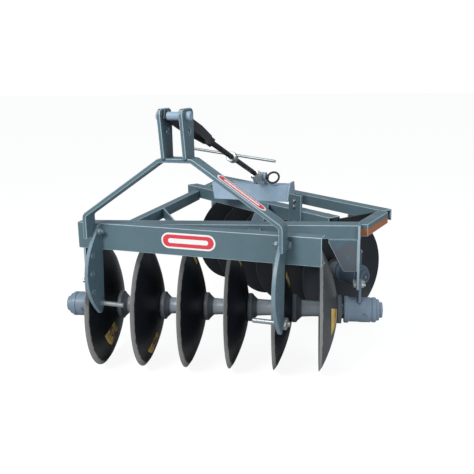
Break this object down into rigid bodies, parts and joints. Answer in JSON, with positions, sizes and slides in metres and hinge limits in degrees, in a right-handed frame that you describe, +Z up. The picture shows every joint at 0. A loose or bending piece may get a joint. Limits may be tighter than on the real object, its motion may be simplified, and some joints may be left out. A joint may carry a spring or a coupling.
{
  "type": "disc harrow",
  "caption": "Tractor-mounted offset disc harrow: two angled gangs of dished discs under a welded frame with a three-point hitch, A-frame mast and rear brace.",
  "frame": {"origin": "middle of the footprint, on the ground under the discs", "axes": "+X to the side of the hitch where the gangs come closest, +Y from the tractor hitch to the back of the harrow, +Z up"},
  "size_m": [1.552, 2.1436, 1.303],
  "materials": {
    "frame_paint": "glossy slate blue paint",
    "disc_steel": "semi-gloss dark paint",
    "gang_spools": "satin grey paint",
    "bearing_housings": "satin blue-grey paint over casting",
    "black_steel": "satin black",
    "zinc": "zinc plated"
  },
  "bodies": {
    "frame": {"a_frame": "frame_paint", "brace_eye": "zinc", "brace_panel": "frame_paint", "brace_pin": "black_steel", "brace_rod": "black_steel", "brace_yoke": "black_steel", "centre_front": "frame_paint", "centre_member": "frame_paint", "clamp_plate": "frame_paint", "cross_beam": "frame_paint", "front_gang_beam": "frame_paint", "front_gang_hanger_left": "frame_paint", "front_gang_hanger_right": "frame_paint", "front_gang_housing_left": "bearing_housings", "front_gang_housing_right": "bearing_housings", "hitch_plate_left": "frame_paint", "hitch_plate_right": "frame_paint", "left_side_front": "frame_paint", "left_side_middle": "frame_paint", "left_side_rear": "frame_paint", "lower_link_pin_left": "zinc", "lower_link_pin_right": "zinc", "mast_upright_left": "frame_paint", "mast_upright_right": "frame_paint", "rear_gang_beam": "frame_paint", "rear_gang_hanger_left": "frame_paint", "rear_gang_hanger_right": "frame_paint", "rear_gang_housing_left": "bearing_housings", "rear_gang_housing_right": "bearing_housings", "rear_strap": "black_steel", "right_side_member": "frame_paint", "tommy_bar": "zinc", "toolbar": "frame_paint", "top_pin": "black_steel"},
    "front_gang": {"front_gang_disc_1": "disc_steel", "front_gang_disc_2": "disc_steel", "front_gang_disc_3": "disc_steel", "front_gang_disc_4": "disc_steel", "front_gang_disc_5": "disc_steel", "front_gang_disc_6": "disc_steel", "front_gang_shaft": "gang_spools"},
    "rear_gang": {"rear_gang_disc_1": "disc_steel", "rear_gang_disc_2": "disc_steel", "rear_gang_disc_3": "disc_steel", "rear_gang_disc_4": "disc_steel", "rear_gang_disc_5": "disc_steel", "rear_gang_disc_6": "disc_steel", "rear_gang_shaft": "gang_spools"}
  },
  "joints": [
    {"name": "front_gang_spin", "type": "hinge", "parent": "frame", "child": "front_gang", "pos_m": [0.47169, -0.49117, 0.305], "axis": [0.9715, 0.2368, 0], "continuous": true},
    {"name": "rear_gang_spin", "type": "hinge", "parent": "frame", "child": "rear_gang", "pos_m": [0.4477, 0.19968, 0.305], "axis": [0.8221, -0.5693, 0], "continuous": true}
  ]
}
